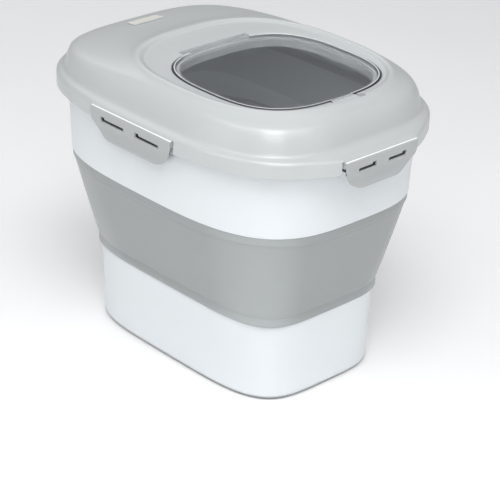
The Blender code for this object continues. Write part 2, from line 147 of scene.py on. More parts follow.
def plastic(name, colour, rough, grain=0.10, grain_scale=2600.0, edge=0.45, wave=0.06,
            mottle=0.012, rough_spread=0.02, spec=0.5, sheen=0.0, sss=0.0, sss_r=(0.003, 0.003, 0.003),
            gap=0.0, painted_shade_dark=0.4, painted_highlight_z=None, painted_corner_light=0.0):
    """A moulded plastic: faint flow mottling in the colour, a fine spark-eroded grain,
    slow ripples of mould shrinkage and softly broken edges, with optional painted
    light in the colour: a painted highlight band, painted corner highlights and painted shade in gaps."""
    mat, nt, bsdf = tree(name)
    vec = coords(nt)
    slow = noise(nt, vec, 9.0, 2.0, 0.55, 0.4)
    fine = noise(nt, vec, grain_scale, 2.0, 0.6)
    speck = noise(nt, vec, 420.0, 3.0, 0.65)
    tint = ramp(nt, slow, [(0.25, shade(colour, 1.0 - mottle)), (0.75, shade(colour, 1.0 + mottle))])
    tint2 = ramp(nt, speck, [(0.30, (1 - mottle * 0.35,) * 3), (0.70, (1.0, 1.0, 1.0))])
    mix = node(nt, "ShaderNodeMix", data_type="RGBA", blend_type="MULTIPLY")
    mix.inputs["Factor"].default_value = 1.0
    nt.links.new(tint, mix.inputs["A"])
    nt.links.new(tint2, mix.inputs["B"])
    colour_out = mix.outputs["Result"]
    if painted_highlight_z:                                     # painted highlight: a near-white band of colour along an edge between two heights
        sep = node(nt, "ShaderNodeSeparateXYZ")
        nt.links.new(vec, sep.inputs["Vector"])
        highlight_mix = node(nt, "ShaderNodeMix", data_type="RGBA")
        nt.links.new(remap(nt, sep.outputs["Z"], 0.0, 1.0, painted_highlight_z[0] * MM, painted_highlight_z[1] * MM),
                     highlight_mix.inputs["Factor"])
        nt.links.new(colour_out, highlight_mix.inputs["A"])
        highlight_mix.inputs["B"].default_value = (0.97, 0.975, 0.98, 1.0)
        colour_out = highlight_mix.outputs["Result"]
    if painted_corner_light:                                    # painted highlight and shade: colour lighter at the band's corners and slightly darker on its flat sides
        sep = node(nt, "ShaderNodeSeparateXYZ")
        nt.links.new(vec, sep.inputs["Vector"])

        def calc(op, a, b):
            m = node(nt, "ShaderNodeMath", operation=op)
            for k, v in enumerate((a, b)):
                if isinstance(v, float):
                    m.inputs[k].default_value = v
                elif v is not None:
                    nt.links.new(v, m.inputs[k])
            return m.outputs["Value"]

        half = calc("ADD", calc("MULTIPLY", sep.outputs["Z"], 0.3235), 0.0683)
        fx = calc("DIVIDE", calc("ABSOLUTE", sep.outputs["X"], None), half)
        fy = calc("DIVIDE", calc("ABSOLUTE", sep.outputs["Y"], None), calc("ADD", half, 0.0535))
        corner_light_mix = node(nt, "ShaderNodeMix", data_type="RGBA", blend_type="MULTIPLY")
        corner_light_mix.inputs["Factor"].default_value = 1.0
        nt.links.new(colour_out, corner_light_mix.inputs["A"])
        nt.links.new(ramp(nt, remap(nt, calc("MULTIPLY", fx, fy), 0.0, 1.0, 0.30, 0.82),
                          [(0.0, (1.0 - 0.15 * painted_corner_light,) * 3), (0.35, (1.0 - 0.05 * painted_corner_light,) * 3),
                           (0.75, (1.0 + 0.75 * painted_corner_light,) * 3), (1.0, (1.0 + painted_corner_light,) * 3)]),
                     corner_light_mix.inputs["B"])
        colour_out = corner_light_mix.outputs["Result"]
    if gap:                                        # painted shade: colour darkened by ambient occlusion in gaps, recesses and under overhangs
        ao = node(nt, "ShaderNodeAmbientOcclusion", samples=8)
        ao.inputs["Distance"].default_value = gap * MM
        painted_shade_ramp = ramp(nt, ao.outputs["AO"], [(0.10, (painted_shade_dark,) * 3), (0.62, (1.0, 1.0, 1.0))])
        shade_mix = node(nt, "ShaderNodeMix", data_type="RGBA", blend_type="MULTIPLY")
        shade_mix.inputs["Factor"].default_value = 1.0
        nt.links.new(colour_out, shade_mix.inputs["A"])
        nt.links.new(painted_shade_ramp, shade_mix.inputs["B"])
        colour_out = shade_mix.outputs["Result"]
    nt.links.new(colour_out, bsdf.inputs["Base Color"])
    r = remap(nt, speck, rough - rough_spread, rough + rough_spread, 0.3, 0.7)
    nt.links.new(r, bsdf.inputs["Roughness"])
    bsdf.inputs["Specular IOR Level"].default_value = spec
    bsdf.inputs["IOR"].default_value = 1.49
    if sheen:
        bsdf.inputs["Sheen Weight"].default_value = sheen
        bsdf.inputs["Sheen Roughness"].default_value = 0.5
    if sss:
        bsdf.inputs["Subsurface Weight"].default_value = sss
        bsdf.inputs["Subsurface Radius"].default_value = sss_r
        bsdf.inputs["Subsurface Scale"].default_value = 1.0
    if edge:
        bev = node(nt, "ShaderNodeBevel", samples=8)
        bev.inputs["Radius"].default_value = edge * MM
    b1 = node(nt, "ShaderNodeBump")
    b1.inputs["Strength"].default_value = grain
    b1.inputs["Distance"].default_value = 0.00004
    nt.links.new(fine, b1.inputs["Height"])
    if edge:
        nt.links.new(bev.outputs["Normal"], b1.inputs["Normal"])
    b2 = node(nt, "ShaderNodeBump")
    b2.inputs["Strength"].default_value = wave
    b2.inputs["Distance"].default_value = 0.0012
    nt.links.new(noise(nt, vec, 22.0, 1.0, 0.4, 0.2), b2.inputs["Height"])
    nt.links.new(b1.outputs["Normal"], b2.inputs["Normal"])
    nt.links.new(b2.outputs["Normal"], bsdf.inputs["Normal"])
    return mat


# gap adds painted shade: the white colour is darkened by ambient occlusion in gaps and recesses
MAT_WHITE = plastic("pp_white", (0.798, 0.834, 0.859), 0.36, edge=0.0, grain=0.02, grain_scale=900.0, wave=0.05, mottle=0.006,
                    sss=0.05, sss_r=(0.002, 0.002, 0.002), gap=18.0, painted_shade_dark=0.16)
MAT_LID = plastic("lid_grey", (0.542, 0.566, 0.570), 0.302, edge=0.0, grain=0.008, grain_scale=900.0, wave=0.04,
                  mottle=0.005, rough_spread=0.008, spec=0.8)
# the latch colour turns near-white along its top edge: a painted highlight
MAT_LATCH = plastic("latch_grey", (0.450, 0.468, 0.470), 0.31, grain=0.01, grain_scale=900.0, wave=0.03, mottle=0.005, rough_spread=0.01,
                    edge=0.35, painted_highlight_z=(302.75, 303.02))
# the band's colour is lighter at its corners and darker on its flats: painted highlight and shade
MAT_BAND = plastic("band_silicone", (0.350, 0.369, 0.372), 0.42, grain=0.22, grain_scale=1500.0,
                   edge=0.0, wave=0.08, mottle=0.020, spec=0.5, sheen=0.05, painted_corner_light=0.24)
MAT_SEAL = plastic("seal_silicone", (0.66, 0.675, 0.68), 0.45, grain=0.10, edge=0.3, mottle=0.012,
                   sss=0.3, sss_r=(0.004, 0.004, 0.004))
MAT_BADGE = plastic("badge_satin", (0.83, 0.815, 0.765), 0.24, grain=0.05, edge=0.25, wave=0.02,
                    mottle=0.012)
MAT_BADGE_RIM = plastic("badge_rim", (0.70, 0.71, 0.70), 0.30, grain=0.05, edge=0.2, mottle=0.010)


MAT_EDGE = plastic("window_edge", (0.86, 0.875, 0.89), 0.16, grain=0.02, edge=0.15, wave=0.02, mottle=0.004)


def clear_plastic():
    mat, nt, bsdf = tree("clear_window")
    vec = coords(nt)
    smoke = ramp(nt, noise(nt, vec, 14.0, 2.0, 0.5), [(0.2, (0.83, 0.855, 0.90)),
                                                     (0.8, (0.87, 0.895, 0.94))])
    nt.links.new(smoke, bsdf.inputs["Base Color"])
    bsdf.inputs["Transmission Weight"].default_value = 1.0
    bsdf.inputs["Alpha"].default_value = 0.36
    bsdf.inputs["IOR"].default_value = 1.45
    haze = remap(nt, noise(nt, vec, 260.0, 3.0, 0.6), 0.03, 0.07, 0.3, 0.7)
    nt.links.new(haze, bsdf.inputs["Roughness"])
    b = node(nt, "ShaderNodeBump")
    b.inputs["Strength"].default_value = 0.05
    b.inputs["Distance"].default_value = 0.0008
    nt.links.new(noise(nt, vec, 30.0, 1.0, 0.4, 0.3), b.inputs["Height"])
    nt.links.new(b.outputs["Normal"], bsdf.inputs["Normal"])
    return mat


MAT_CLEAR = clear_plastic()


# ================================================================ mesh helpers
def quarter(b, a, n, m=Q):
    t = np.linspace(0.0, math.pi / 2, 1601)
    x = b * np.cos(t) ** (2.0 / n)
    y = a * np.sin(t) ** (2.0 / n)
    x[-1] = 0.0
    y[0] = 0.0
    s = np.concatenate([[0.0], np.cumsum(np.hypot(np.diff(x), np.diff(y)))])
    want = s[-1] * np.arange(m) / m
    return np.interp(want, s, x), np.interp(want, s, y)


def outline(b, a, n, z, oy=0.0, bulge=0.0, m=Q):
    x, y = quarter(b, a, n, m)
    xs = np.concatenate([x, [0.0], -x[:0:-1], [-b], -x[1:], [0.0], x[:0:-1]])
    ys = np.concatenate([y, [a], y[:0:-1], [0.0], -y[1:], [-a], -y[:0:-1]])
    if bulge:
        t = np.clip((np.abs(xs) - BULGE_X0) / (BULGE_X1 - BULGE_X0), 0.0, 1.0)
        ys = ys + np.where(np.abs(ys) > 100.0, np.sign(ys) * bulge * (1.0 - t * t * (3.0 - 2.0 * t)), 0.0)
    return np.stack([xs, ys + oy, np.full_like(xs, z)], 1) * MM


def refine(rings, closed, default=30.0, longest=7.0, turn=9.0):
    """Rounds the corners of a stack of outlines and fills long stretches.  A ring is
    (half width, half length, squareness, z, y offset, radius, bulge of the ends)."""
    p = np.array([list(r)[:4] + [r[4] if len(r) > 4 else 0.0, r[6] if len(r) > 6 else 0.0,
                                 r[5] if len(r) > 5 else default] for r in rings], float)
    k = len(p)

    def gap(u, v):
        return math.sqrt(max(abs(u[0] - v[0]), abs(u[1] - v[1]), abs(u[1] + u[4] - v[1] - v[4])) ** 2
                         + (u[3] - v[3]) ** 2)

    out = []
    for i in range(k):
        if not closed and i in (0, k - 1):
            out.append(p[i, :6])
            continue
        a, c, b = p[i - 1], p[i], p[(i + 1) % k]
        la, lb = gap(a, c), gap(c, b)
        ra, rb = min(c[6], 0.5 * la), min(c[6], 0.5 * lb)
        if la < 1e-6 or lb < 1e-6:
            out.append(c[:6])
            continue
        s = c[:6] + (a[:6] - c[:6]) * ra / la
        e = c[:6] + (b[:6] - c[:6]) * rb / lb
        u = np.array([c[0] - a[0], c[3] - a[3]]) / la
        v = np.array([b[0] - c[0], b[3] - c[3]]) / lb
        u /= max(1e-9, np.linalg.norm(u))
        v /= max(1e-9, np.linalg.norm(v))
        angle = math.degrees(math.acos(max(-1.0, min(1.0, float(u @ v)))))
        steps = max(2, int(math.ceil(angle / turn)))
        for j in range(steps + 1):
            t = j / steps
            out.append(s * (1 - t) ** 2 + c[:6] * 2 * t * (1 - t) + e * t * t)
    done = []
    n = len(out)
    for i in range(n):
        if done and gap(list(done[-1]) + [0], list(out[i]) + [0]) < 1e-4:
            continue
        done.append(out[i])
    if closed and gap(list(done[-1]) + [0], list(done[0]) + [0]) < 1e-4:
        done.pop()
    full = []
    n = len(done)
    for i in range(n):
        full.append(done[i])
        if not closed and i == n - 1:
            break
        b = done[(i + 1) % n]
        g = gap(list(done[i]) + [0], list(b) + [0])
        extra = int(g // longest)
        for j in range(1, extra + 1):
            full.append(done[i] + (b - done[i]) * j / (extra + 1))
    return [tuple(r) for r in full]


def make(name, verts, faces, mat, col=None):
    me = bpy.data.meshes.new(name)
    me.from_pydata([tuple(map(float, v)) for v in verts], [], [tuple(map(int, f)) for f in faces])
    bm = bmesh.new()
    bm.from_mesh(me)
    bmesh.ops.recalc_face_normals(bm, faces=bm.faces)
    bm.to_mesh(me)
    bm.free()
    ob = bpy.data.objects.new(name, me)
    (col or bpy.context.scene.collection).objects.link(ob)
    if mat is not None:
        me.materials.append(mat)
    return ob


def loft(name, rings, mat, closed, col=None, m=Q, mesh_rings=None):
    loops = [outline(*r, m=m) for r in rings] if mesh_rings is None else mesh_rings
    n = len(loops[0])
    verts = np.concatenate(loops)
    faces = []
    pairs = [(i, i + 1) for i in range(len(loops) - 1)]
    if closed:
        pairs.append((len(loops) - 1, 0))
    i0 = np.arange(n)
    i1 = (i0 + 1) % n
    for lo, hi in pairs:
        faces += list(zip(lo * n + i0, lo * n + i1, hi * n + i1, hi * n + i0))
    if not closed:
        faces.append(tuple(range(n)))
        faces.append(tuple(range((len(loops) - 1) * n, len(loops) * n)))
    return make(name, verts, faces, mat, col)


def box(name, lo, hi, matrix=None):
    x0, y0, z0 = lo
    x1, y1, z1 = hi
    v = [(x, y, z) for z in (z0, z1) for y in (y0, y1) for x in (x0, x1)]
    f = [(0, 1, 3, 2), (4, 6, 7, 5), (0, 4, 5, 1), (2, 3, 7, 6), (0, 2, 6, 4), (1, 5, 7, 3)]
    ob = make(name, np.array(v) * MM, f, None, CUTTERS)
    if matrix is not None:
        ob.matrix_world = matrix
    return ob


def prism(name, pts, z0, z1, mat=None, matrix=None, col=CUTTERS, slices=1):
    """A flat outline in local X, Y run along local Z."""
    n = len(pts)
    verts, faces = [], []
    for k in range(slices + 1):
        z = z0 + (z1 - z0) * k / slices
        verts += [(x * MM, y * MM, z * MM) for x, y in pts]
    for k in range(slices):
        for i in range(n):
            j = (i + 1) % n
            faces.append((k * n + i, k * n + j, (k + 1) * n + j, (k + 1) * n + i))
    faces.append(tuple(range(n)))
    faces.append(tuple(range(slices * n, (slices + 1) * n)))
    ob = make(name, verts, faces, mat, col)
    if matrix is not None:
        ob.matrix_world = matrix
    return ob


def arc(r, start, stop, steps, c=(0.0, 0.0)):
    return [(c[0] + r * math.cos(math.radians(start + (stop - start) * i / steps)),
             c[1] + r * math.sin(math.radians(start + (stop - start) * i / steps)))
            for i in range(steps + 1)]


def rounded(pts, radii, steps=6):
    """A closed flat outline with each corner rounded."""
    out = []
    k = len(pts)
    for i in range(k):
        r = radii if isinstance(radii, (int, float)) else radii[i]
        a, c, b = (np.array(pts[i - 1], float), np.array(pts[i], float),
                   np.array(pts[(i + 1) % k], float))
        la, lb = np.linalg.norm(a - c), np.linalg.norm(b - c)
        ra, rb = min(r, 0.5 * la), min(r, 0.5 * lb)
        if r <= 0:
            out.append(tuple(c))
            continue
        s, e = c + (a - c) * ra / la, c + (b - c) * rb / lb
        for j in range(steps + 1):
            t = j / steps
            out.append(tuple(s * (1 - t) ** 2 + c * 2 * t * (1 - t) + e * t * t))
    clean = []
    for p in out:
        if not clean or math.hypot(p[0] - clean[-1][0], p[1] - clean[-1][1]) > 1e-4:
            clean.append(p)
    if math.hypot(clean[0][0] - clean[-1][0], clean[0][1] - clean[-1][1]) < 1e-4:
        clean.pop()
    return clean


def cut(target, *cutters, op="DIFFERENCE"):
    """Boolean with each cutter in turn, applied."""
    for c in cutters:
        mod = target.modifiers.new("b", "BOOLEAN")
        mod.operation = op
        mod.solver = "EXACT"
        mod.object = c
        bpy.context.view_layer.update()
        dg = bpy.context.evaluated_depsgraph_get()
        new = bpy.data.meshes.new_from_object(target.evaluated_get(dg))
        target.modifiers.remove(mod)
        old = target.data
        target.data = new
        bpy.data.meshes.remove(old)
        bpy.data.objects.remove(c, do_unlink=True)
    return target


def tidy(ob, angle=32.0, merge=0.00001):
    bm = bmesh.new()
    bm.from_mesh(ob.data)
    bmesh.ops.remove_doubles(bm, verts=bm.verts, dist=merge)
    bmesh.ops.dissolve_degenerate(bm, edges=bm.edges, dist=0.000005)
    bmesh.ops.recalc_face_normals(bm, faces=bm.faces)
    bm.to_mesh(ob.data)
    bm.free()
    ob.data.shade_smooth()
    ob.data.set_sharp_from_angle(angle=math.radians(angle))
    return ob


def side_frame(nx, ny, dist):
    """Local X points inwards, local Y up, local Z along the hinge."""
    h = Vector((-nx, -ny, 0.0))
    up = Vector((0.0, 0.0, 1.0))
    along = h.cross(up)
    m = Matrix((h, up, along)).transposed().to_4x4()
    m.translation = Vector((nx * dist * MM, ny * dist * MM, LATCH_AXIS_Z * MM))
    return m


def bake(ob):
    ob.data.transform(ob.matrix_world)
    ob.matrix_world = Matrix.Identity(4)
    return ob


SIDES = [("latch_left", "left_latch", -1, 0, LATCH_AXIS_X, LATCH_HALF_LONG, (9.5, 47.0), -1),
         ("latch_right", "right_latch", 1, 0, LATCH_AXIS_X, LATCH_HALF_LONG, (9.5, 47.0), 1),
         ("latch_front", "front_latch", 0, -1, LATCH_AXIS_Y, LATCH_HALF_SHORT, (9.0, 34.5), 1),
         ("latch_rear", "rear_latch", 0, 1, LATCH_AXIS_Y, LATCH_HALF_SHORT, (9.0, 34.5), -1)]


# ================================================================ lower tub
def tub_profile():
    rings = []
    for i in range(9):
        t = 0.5 * math.pi * i / 8
        inset = TUB_EDGE_R * (1.0 - math.sin(t))
        rings.append((97.9 - inset, 154.2 - inset, 4.3, TUB_EDGE_R * (1.0 - math.cos(t)), 0, 0.6))
    rings += [(98.2, 154.4, 4.5, 50.0), (98.6, 154.6, 4.8, 91.0, 0, 4.0),
              (98.6, 154.6, 4.8, TUB_TOP, 0, 0.9),
              (98.6 - TUB_WALL, 154.6 - TUB_WALL, 4.8, TUB_TOP, 0, 0.9),
              (98.2 - TUB_WALL, 154.4 - TUB_WALL, 4.5, 50.0)]
    r = TUB_EDGE_R - TUB_WALL
    for i in range(6, -1, -1):
        t = 0.5 * math.pi * i / 6
        inset = r * (1.0 - math.sin(t))
        rings.append((97.9 - TUB_WALL - inset, 154.2 - TUB_WALL - inset, 4.3,
                      TUB_WALL + r * (1.0 - math.cos(t)), 0, 0.6))
    return rings


tub = loft("tub_shell", refine(tub_profile(), False), MAT_WHITE, closed=False)
tidy(tub)
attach(tub, "tub")
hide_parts("base_tub")

# ================================================================ folding band
band_rings = [
    (99.9, 155.9, 4.9, 92.6, 0, 0.5),
    (101.2, 157.0, 4.9, 94.4, 0, 1.6),
    (101.6, 157.4, 4.9, 98.0, 0, 2.5),
    (101.1, 156.9, 4.87, 101.6, 0, 2.0),
    (100.6, 156.3, 4.85, 103.6, 0, 1.2),
    (101.9, 157.5, 4.8, 105.6, 0, 2.0),
    (103.7, 159.1, 4.7, 110.2, 0, 5.0),
    (118.8, 173.0, 4.0, 157.0),
    (131.3, 184.7, 3.55, 195.6, 0, 1.0),
    (132.3, 185.6, 3.5, 197.4, 0, 0.8),
    (133.3, 186.6, 3.45, 201.6, 0, 1.2),
    (133.9, 187.1, 3.42, 203.2, 0, 0.8),
    (135.9, 189.0, 3.38, 204.8, 0, 1.1),
    (136.6, 189.6, 3.34, 211.0, 0, 1.5),
    (136.6, 189.6, 3.34, RING_BOTTOM - GAP, 0, 0.4),
    (134.4, 187.4, 3.34, RING_BOTTOM - GAP, 0, 0.2),
    (134.4, 187.4, 3.34, 219.5, 0, 0.5),
    (132.2, 185.2, 3.34, 219.5, 0, 0.5),
    (132.8, 185.9, 3.4, 206.5, 0, 3.0),
    (116.6, 170.8, 4.0, 157.0),
    (100.2, 155.7, 4.75, 106.0, 0, 4.0),
    (96.3, 152.3, 4.8, 101.0, 0, 1.5),
    (96.3, 152.3, 4.8, TUB_TOP + GAP, 0, 0.3),
    (98.95, 154.95, 4.8, TUB_TOP + GAP, 0, 0.2),
    (98.95, 154.95, 4.8, 92.6, 0, 0.3),
]
band = loft("folding_band", refine(band_rings, True, longest=2.2), MAT_BAND, closed=True)
tidy(band)
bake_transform(band)
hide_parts("silicone_band")

# ================================================================ upper ring
ring_rings = [
    (137.3, 190.3, 3.34, RING_BOTTOM, 0, 0.6),
    (140.2, 193.2, 3.25, 266.0),
    (141.2, 194.2, 3.2, 286.6, 0, 1.2),
    (145.3, 201.8, 3.1, 289.2, 0, 0.5),
    (145.3, 201.8, 3.1, 292.3, 0, 0.5),
    (141.9, 194.9, 3.2, 292.6, 0, 0.5),
    (141.6, 194.6, 3.2, RING_RIM, 0, 0.7),
    (139.0, 192.0, 3.2, RING_RIM, 0, 0.7),
    (138.7, 191.7, 3.2, 286.6, 0, 4.0),
    (137.6, 190.6, 3.25, 266.0),
    (134.7, 187.7, 3.34, RING_BOTTOM, 0, 0.5),
]
ring = loft("upper_ring_shell", refine(ring_rings, True), MAT_WHITE, closed=True)
rib_x, rib_y = LATCH_AXIS_X - RIB_REACH, LATCH_AXIS_Y - RIB_REACH
for sx in (-1, 1):
    for sy in (-1, 1):
        lo = (min(sx * 141.4, sx * rib_x), min(sy * 3.0, sy * 58.0), 284.8)
        hi = (max(sx * 141.4, sx * rib_x), max(sy * 3.0, sy * 58.0), 288.9)
        cut(ring, box("rib", lo, hi), op="UNION")
for sy in (-1, 1):
    for sx in (-1, 1):
        lo = (min(sx * 3.0, sx * 46.0), min(sy * 193.6, sy * rib_y), 284.8)
        hi = (max(sx * 3.0, sx * 46.0), max(sy * 193.6, sy * rib_y), 288.9)
        cut(ring, box("rib", lo, hi), op="UNION")
tidy(ring)
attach(ring, "ring")
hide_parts("upper_ring")

# ================================================================ lid seal
gasket = loft("lid_seal", refine([
    (142.6, 195.6, 3.2, RING_RIM + GAP, 0, 1.0), (142.6, 195.6, 3.2, 302.1, 0, 1.0),
    (138.5, 191.5, 3.2, 302.1, 0, 1.0), (138.5, 191.5, 3.2, RING_RIM + GAP, 0, 1.0)], True),
    MAT_SEAL, closed=True)
tidy(gasket)
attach(gasket, "lid")
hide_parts("lid_gasket")

# ================================================================ lid shell
WY = WIN_Y
lid_rings = [
    (89.0, 90.0, 3.2, 329.8, WY, 0.8),
    (91.6, 91.9, 3.0, 337.7, WY, 0.7),
    (WIN_B + 0.8, WIN_A + 0.8, WIN_N, 337.7, WY, 0.4),
    (WIN_B + 1.0, WIN_A + 1.0, WIN_N, 341.3, WY, 0.5),
    (WIN_B + 1.8, WIN_A + 1.8, WIN_N, 342.0, WY, 0.8),
    (WIN_B + 6.0, WIN_A + 7.0, WIN_N, 342.3, WY + 1.0, 6.0),
    (112.5, 125.0, 2.75, 342.9, -38.5, 1.6),
    (114.6, 127.6, 2.72, 344.5, -38.2, 3.0),
    (117.2, 131.5, 2.68, 345.4, -37.6),
    (119.9, 136.8, 2.63, 344.8, -37.0),
    (122.8, 143.2, 2.62, 342.2, -36.0),
    (127.3, 151.0, 2.85, 339.6, -29.8),
    (130.8, 163.0, 3.2, 337.0, -19.5),
    (133.1, 176.0, 3.5, 334.2, -9.0),
    (135.2, 187.0, 3.62, 331.0, 0.0),
    (137.6, 189.7, 3.62, 326.4, 0.0),
    (140.4, 192.5, 3.56, 318.0, 0.0),
    (142.8, 194.9, 3.5, 310.6, 0.0, 3.0),
    (145.0, 197.3, 3.44, 308.5, 0.0, 3.0),
    (149.7, 204.6, 3.2, 306.9, 0.0, 3.0, 0.53 * BULGE),
    (152.0, 208.3, 3.08, 305.7, 0.0, 30.0, 0.9 * BULGE),
    (153.2, 209.7, 3.06, SKIRT_TOP, 0.0, 30.0, BULGE),
    (SKIRT_B, SKIRT_A, SKIRT_N, 301.8, 0.0, 2.0, BULGE),
    (SKIRT_B, SKIRT_A, SKIRT_N, SKIRT_BOTTOM, 0.0, 0.8, BULGE),
    (SKIRT_B - LID_WALL, SKIRT_A - LID_WALL, SKIRT_N, SKIRT_BOTTOM, 0.0, 0.8, BULGE),
    (SKIRT_B - LID_WALL, SKIRT_A - LID_WALL, SKIRT_N, 302.4, 0.0, 0.8, BULGE),
    (138.2, 191.2, 3.2, 302.4, 0.0, 0.6),
    (138.2, 191.2, 3.2, 290.0, 0.0, 0.6),
    (136.2, 189.2, 3.2, 290.0, 0.0, 0.6),
    (136.4, 189.4, 3.25, 303.6, 0.0, 2.0),
    (140.0, 192.2, 3.42, 308.6, 0.0, 1.5),
    (137.8, 190.0, 3.54, 317.6, 0.0),
    (135.0, 187.2, 3.6, 325.6, 0.0),
    (132.6, 184.4, 3.58, 328.6, 0.0),
    (130.9, 174.0, 3.5, 331.4, -9.0),
    (128.7, 161.2, 3.2, 334.2, -19.5),
    (125.3, 149.2, 2.85, 336.9, -29.8),
    (121.2, 141.4, 2.62, 339.2, -36.0),
    (118.4, 135.0, 2.63, 341.8, -37.0, 2.0),
    (116.6, 130.8, 2.68, 342.6, -37.6, 2.0),
    (112.8, 124.2, 2.74, 340.3, -38.4, 2.0),
    (WIN_B + 3.6, WIN_A + 3.6, WIN_N, 339.9, WY, 0.8),
    (WIN_B + 3.4, WIN_A + 3.4, WIN_N, 335.2, WY, 0.8),
    (94.2, 94.5, 3.0, 335.2, WY, 0.8),
    (91.3, 92.3, 3.2, 329.8, WY, 0.6),
]
lid = loft("lid_cover", refine(lid_rings, True), MAT_LID, closed=True)

rail_profile = arc(LATCH_R + GAP, 90.0, -90.0, 20) + [
    (0.0, -4.2), (0.6, -5.0), (7.2, -5.0), (7.2, 5.2),
    (4.6, 5.5), (3.2, 5.25), (2.0, 4.75), (1.1, 4.1), (0.45, 3.5), (0.1, 3.02)]
for name, body, nx, ny, dist, half, slot, flip in SIDES:
    f = side_frame(nx, ny, dist)
    c = half + LATCH_SIDE_GAP
    deep = 3.1 if nx else 6.6
    cut(lid, box("cutout", (-12.0, -20.0, -c), (deep, 2.95, c), f))
    cut(lid, box("lip", (-12.0, 1.0, -half - 0.4), (0.0, 8.0, half + 0.4), f))
    cut(lid, prism("rail", rail_profile, -half + 0.4, half - 0.4, matrix=f), op="UNION")
cut(lid, box("hinge_block", (-53.0, 37.0, 334.4), (53.0, 49.5, 341.6)), op="UNION")
cut(lid, box("hinge_notch", (-NOTCH_L, 38.9, 336.6), (NOTCH_L, 46.5, 350.0)))
cut(lid, box("hinge_step", (-NOTCH_L, 35.0, 337.5), (NOTCH_L, 39.5, 350.0)))
along_x = Matrix(((0, 0, 1), (1, 0, 0), (0, 1, 0))).to_4x4()
along_x.translation = Vector((0.0, FLAP_AXIS_Y * MM, FLAP_AXIS_Z * MM))
cut(lid, prism("hinge_hole", arc(1.4, 0, 345, 23), -51.4, 51.4, matrix=along_x))
cut(lid, box("tab_block", (-22.5, -175.5, 335.4), (22.5, -158.0, 341.2)), op="UNION")
cut(lid, box("tab_relief", (-19.5, -172.3, 338.4), (19.5, -150.0, 350.0)))
tidy(lid, 30.0)
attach(lid, "lid")
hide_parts("lid_shell")


# ================================================================ latches
def curve_g():
    v = np.array([0.0, 10.5, 14.5, 18.5, 22.5, 26.0, 29.0, LATCH_DROP])
    x = np.array([-LATCH_R, -LATCH_R, -1.9, -0.2, 1.0, 1.05, 0.2, -1.1])
    tan = np.gradient(x, v)
    tan[0] = 0.0
    tan[1] = 0.0
    tan[-1] = -0.58
    fine_v, fine_x = [], []
    for i in range(len(v) - 1):
        h = v[i + 1] - v[i]
        for t in np.linspace(0, 1, 40, endpoint=i == len(v) - 2):
            h00, h10 = 2 * t**3 - 3 * t**2 + 1, t**3 - 2 * t**2 + t
            h01, h11 = -2 * t**3 + 3 * t**2, t**3 - t**2
            fine_v.append(v[i] + h * t)
            fine_x.append(h00 * x[i] + h10 * h * tan[i] + h01 * x[i + 1] + h11 * h * tan[i + 1])
    fv, fx = np.array(fine_v), np.maximum(np.array(fine_x), -LATCH_R)
    gx = np.gradient(fx, fv)
    return fv, fx, gx


G_V, G_X, G_D = curve_g()


def on_plate(l, v, depth):
    """A point of the latch plate: along the hinge, down from the axis, in from the outer face."""
    g, d = np.interp(v, G_V, G_X), np.interp(v, G_V, G_D)
    k = 1.0 / math.sqrt(1.0 + d * d)
    return (g + depth * k, -v + depth * d * k, l)


